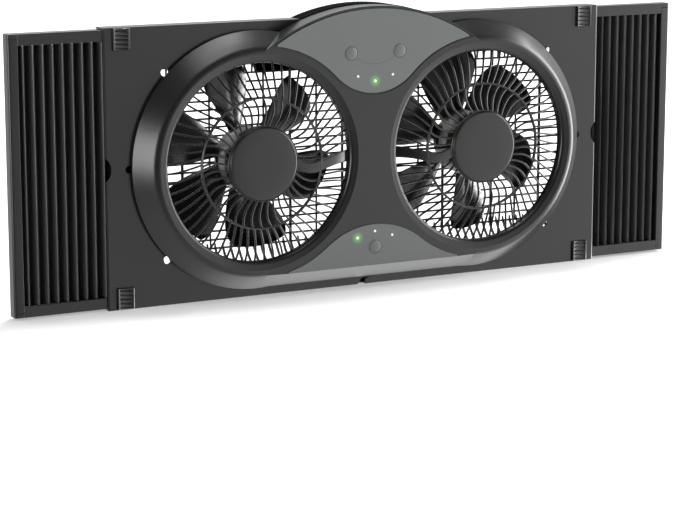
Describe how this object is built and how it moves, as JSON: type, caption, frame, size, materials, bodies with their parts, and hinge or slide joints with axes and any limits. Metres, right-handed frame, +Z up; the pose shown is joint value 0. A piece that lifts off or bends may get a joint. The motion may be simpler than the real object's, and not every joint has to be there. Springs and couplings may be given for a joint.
{
  "type": "twin window fan",
  "caption": "Wide window fan with two domed round grilles in a raised double-ring bezel, push-button panels, a carrying arch and pleated side panels that slide in and out.",
  "frame": {"origin": "middle of the footprint, at the height of the sill that the fan stands on", "axes": "+X to the right as seen from the room, +Y towards the outdoors, +Z up; the grilles and the control panels face -Y"},
  "size_m": [0.867, 0.09, 0.333],
  "materials": {
    "charcoal_plastic": "satin",
    "black_plastic": "satin",
    "grey_plastic": "matt",
    "curtain_vinyl": "matt",
    "lit_lens": "lit from behind",
    "clear_lens": "milky",
    "zinc_plate": "zinc plated",
    "laminated_steel": "rolled",
    "copper_wire": "enamelled copper",
    "sintered_bronze": "sintered",
    "board_laminate": "solder resist",
    "capacitor_case": "plain"
  },
  "bodies": {
    "housing": {"front_panel": "charcoal_plastic", "front_bezel": "charcoal_plastic", "rear_grille": "black_plastic", "carry_handle": "black_plastic", "top_control_panel": "grey_plastic", "bottom_control_panel": "grey_plastic", "lit_indicators": "lit_lens", "unlit_indicators": "clear_lens", "left_front_grille": "charcoal_plastic", "left_hub_cap": "charcoal_plastic", "left_motor_front_bell": "zinc_plate", "left_stator": "laminated_steel", "left_windings": "copper_wire", "left_motor_rear_bell": "zinc_plate", "left_bearings": "sintered_bronze", "right_front_grille": "charcoal_plastic", "right_hub_cap": "charcoal_plastic", "right_motor_front_bell": "zinc_plate", "right_stator": "laminated_steel", "right_windings": "copper_wire", "right_motor_rear_bell": "zinc_plate", "right_bearings": "sintered_bronze", "left_pleats": "curtain_vinyl", "right_pleats": "curtain_vinyl", "main_board": "board_laminate", "lower_board": "board_laminate", "tact_switches": "black_plastic", "ir_receiver": "black_plastic", "motor_capacitors": "capacitor_case", "motor_leads": "black_plastic", "motor_screws": "zinc_plate", "housing_screws": "zinc_plate", "board_screws": "zinc_plate"},
    "left_fan": {"left_rotor": "laminated_steel", "left_shaft": "zinc_plate", "left_impeller": "black_plastic", "left_impeller_nut": "black_plastic"},
    "right_fan": {"right_rotor": "laminated_steel", "right_shaft": "zinc_plate", "right_impeller": "black_plastic", "right_impeller_nut": "black_plastic"},
    "left_expander": {"left_stile": "charcoal_plastic", "left_stile_caps": "charcoal_plastic", "left_top_rail": "charcoal_plastic", "left_bottom_rail": "charcoal_plastic"},
    "right_expander": {"right_stile": "charcoal_plastic", "right_stile_caps": "charcoal_plastic", "right_top_rail": "charcoal_plastic", "right_bottom_rail": "charcoal_plastic"},
    "top_left_lock": {"top_left_lock": "charcoal_plastic"},
    "top_right_lock": {"top_right_lock": "charcoal_plastic"},
    "bottom_left_lock": {"bottom_left_lock": "charcoal_plastic"},
    "bottom_right_lock": {"bottom_right_lock": "charcoal_plastic"},
    "top_left_button": {"top_left_button": "grey_plastic"},
    "top_right_button": {"top_right_button": "grey_plastic"},
    "bottom_button": {"bottom_button": "grey_plastic"}
  },
  "joints": [
    {"name": "left_fan_spin", "type": "hinge", "parent": "housing", "child": "left_fan", "pos_m": [-0.145, 0, 0.159], "axis": [0, 1, 0], "continuous": true},
    {"name": "right_fan_spin", "type": "hinge", "parent": "housing", "child": "right_fan", "pos_m": [0.145, 0, 0.159], "axis": [0, 1, 0], "continuous": true},
    {"name": "left_expander_slide", "type": "slide", "parent": "housing", "child": "left_expander", "axis": [1, 0, 0], "range_m": [0, 0.097], "deforming": ["left_pleats"]},
    {"name": "right_expander_slide", "type": "slide", "parent": "housing", "child": "right_expander", "axis": [-1, 0, 0], "range_m": [0, 0.097], "deforming": ["right_pleats"]},
    {"name": "top_left_lock_slide", "type": "slide", "parent": "housing", "child": "top_left_lock", "axis": [0, 0, -1], "range_m": [0, 0.004]},
    {"name": "top_right_lock_slide", "type": "slide", "parent": "housing", "child": "top_right_lock", "axis": [0, 0, -1], "range_m": [0, 0.004]},
    {"name": "bottom_left_lock_slide", "type": "slide", "parent": "housing", "child": "bottom_left_lock", "axis": [0, 0, 1], "range_m": [0, 0.004]},
    {"name": "bottom_right_lock_slide", "type": "slide", "parent": "housing", "child": "bottom_right_lock", "axis": [0, 0, 1], "range_m": [0, 0.004]},
    {"name": "top_left_button_press", "type": "slide", "parent": "housing", "child": "top_left_button", "axis": [0, 1, 0], "range_m": [0, 0.0012], "stiffness_N_per_m": 900},
    {"name": "top_right_button_press", "type": "slide", "parent": "housing", "child": "top_right_button", "axis": [0, 1, 0], "range_m": [0, 0.0012], "stiffness_N_per_m": 900},
    {"name": "bottom_button_press", "type": "slide", "parent": "housing", "child": "bottom_button", "axis": [0, 1, 0], "range_m": [0, 0.0012], "stiffness_N_per_m": 900}
  ]
}
